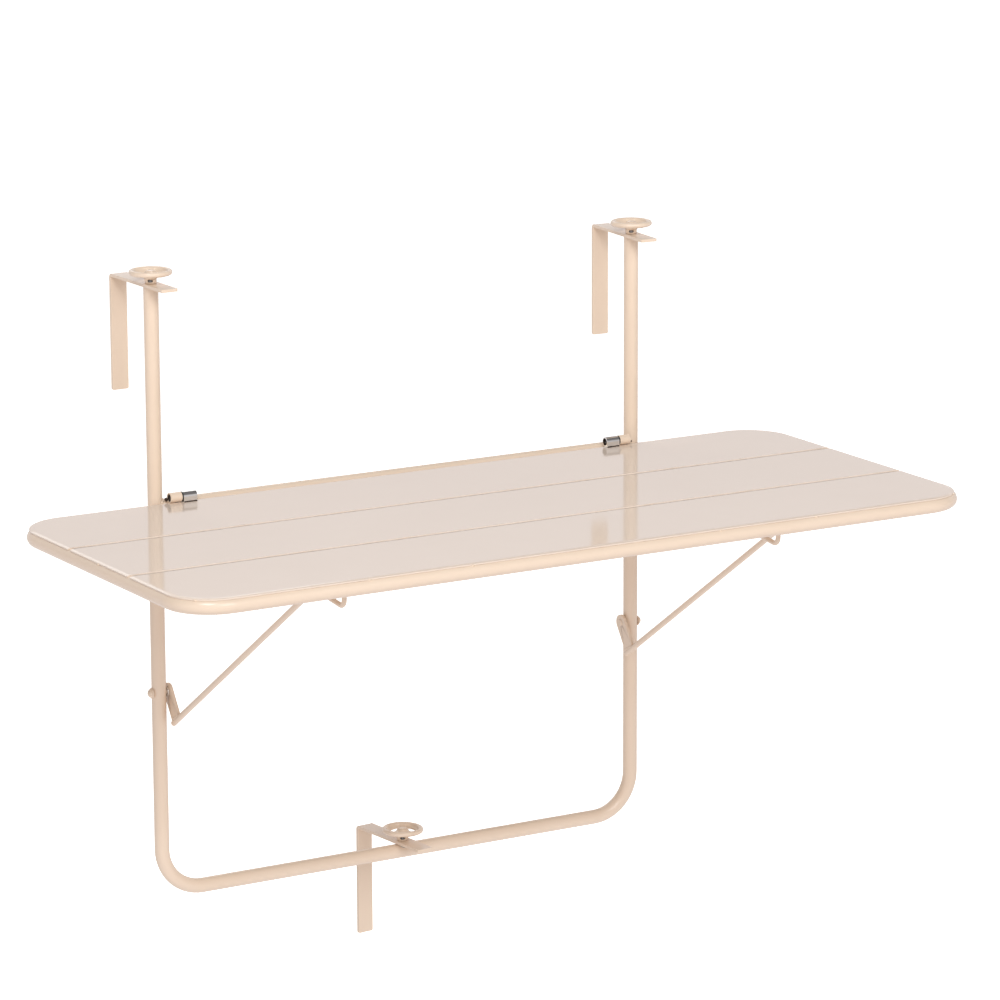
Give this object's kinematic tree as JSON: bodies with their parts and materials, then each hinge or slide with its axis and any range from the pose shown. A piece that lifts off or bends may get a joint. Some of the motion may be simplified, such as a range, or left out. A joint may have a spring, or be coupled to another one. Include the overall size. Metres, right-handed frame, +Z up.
{
  "type": "balcony table",
  "caption": "Hanging balcony table: bent-tube frame with swinging strip hooks and handwheel clamps, slatted top that folds up on barrel hinges, and swinging rod braces.",
  "frame": {"origin": "middle of the railing's top front edge: level with the undersides of the top hook strips, at the rear faces of the uprights, midway between the uprights", "axes": "+X along the railing to the right as the user faces it, +Y from the user towards the railing, +Z up"},
  "size_m": [0.888, 0.4675, 0.7511],
  "materials": {
    "coated_steel": "gloss",
    "table_sheet": "gloss",
    "black_nylon": "matte",
    "zinc_steel": "zinc plated"
  },
  "bodies": {
    "frame": {"frame_tube": "coated_steel", "cross_tube": "coated_steel", "threaded_plug_left": "coated_steel", "threaded_plug_right": "coated_steel", "bar_boss": "zinc_steel", "frame_knuckle_left": "coated_steel", "frame_knuckle_right": "coated_steel", "pivot_bolt_left": "coated_steel", "pivot_bolt_right": "coated_steel", "pivot_washer_left": "coated_steel", "pivot_washer_right": "coated_steel", "pivot_spacer_left": "zinc_steel", "pivot_spacer_right": "zinc_steel"},
    "table": {"rim_tube": "coated_steel", "slat_front": "table_sheet", "slat_middle": "table_sheet", "slat_rear": "table_sheet", "cross_rod_outer_left": "coated_steel", "cross_rod_inner_left": "coated_steel", "cross_rod_inner_right": "coated_steel", "cross_rod_outer_right": "coated_steel", "guide_rail_left": "coated_steel", "guide_rail_right": "coated_steel", "table_knuckle_left": "zinc_steel", "table_knuckle_right": "zinc_steel", "hinge_pin_left": "zinc_steel", "hinge_pin_right": "zinc_steel", "hinge_washer_left": "black_nylon", "hinge_washer_right": "black_nylon"},
    "brace_left": {"brace_lug_left": "coated_steel", "brace_rod_left": "coated_steel"},
    "brace_right": {"brace_lug_right": "coated_steel", "brace_rod_right": "coated_steel"},
    "hook_swing_left": {"hook_left": "coated_steel"},
    "hook_swing_right": {"hook_right": "coated_steel"},
    "hook_swing_bottom": {"hook_bottom": "coated_steel"},
    "clamp_left": {"handwheel_left": "coated_steel", "stud_left": "zinc_steel", "lock_pin_left": "zinc_steel"},
    "clamp_right": {"handwheel_right": "coated_steel", "stud_right": "zinc_steel", "lock_pin_right": "zinc_steel"},
    "clamp_bottom": {"handwheel_bottom": "coated_steel", "stud_bottom": "zinc_steel", "lock_pin_bottom": "zinc_steel"}
  },
  "joints": [
    {"name": "table_fold", "type": "hinge", "parent": "frame", "child": "table", "pos_m": [0, -0.019, -0.2137], "axis": [-1, 0, 0], "range_deg": [0, 75]},
    {"name": "brace_swing_left", "type": "hinge", "parent": "frame", "child": "brace_left", "pos_m": [-0.2691, -0.0075, -0.4155], "axis": [-1, 0, 0], "range_deg": [0, 49.28]},
    {"name": "brace_swing_right", "type": "hinge", "parent": "frame", "child": "brace_right", "pos_m": [0.2691, -0.0075, -0.4155], "axis": [-1, 0, 0], "range_deg": [0, 49.28]},
    {"name": "hook_left_swing", "type": "hinge", "parent": "frame", "child": "hook_swing_left", "pos_m": [-0.28, -0.0075, 0], "axis": [0, 0, 1], "range_deg": [-91, 89]},
    {"name": "hook_right_swing", "type": "hinge", "parent": "frame", "child": "hook_swing_right", "pos_m": [0.28, -0.0075, 0], "axis": [0, 0, 1], "range_deg": [-85.5, 94.5]},
    {"name": "hook_bottom_swing", "type": "hinge", "parent": "frame", "child": "hook_swing_bottom", "pos_m": [0, -0.0075, -0.6172], "axis": [0, 0, 1], "range_deg": [-65.6, 54.4]},
    {"name": "handwheel_left_turn", "type": "hinge", "parent": "frame", "child": "clamp_left", "pos_m": [-0.28, -0.0075, 0.0031], "axis": [0, 0, 1], "continuous": true},
    {"name": "handwheel_right_turn", "type": "hinge", "parent": "frame", "child": "clamp_right", "pos_m": [0.28, -0.0075, 0.0031], "axis": [0, 0, 1], "continuous": true},
    {"name": "handwheel_bottom_turn", "type": "hinge", "parent": "frame", "child": "clamp_bottom", "pos_m": [0, -0.0075, -0.6141], "axis": [0, 0, 1], "continuous": true}
  ],
  "couplings": [
    {"joint": "brace_swing_left", "follows": "table_fold", "ratio": 0.6564},
    {"joint": "brace_swing_right", "follows": "table_fold", "ratio": 0.6564}
  ]
}
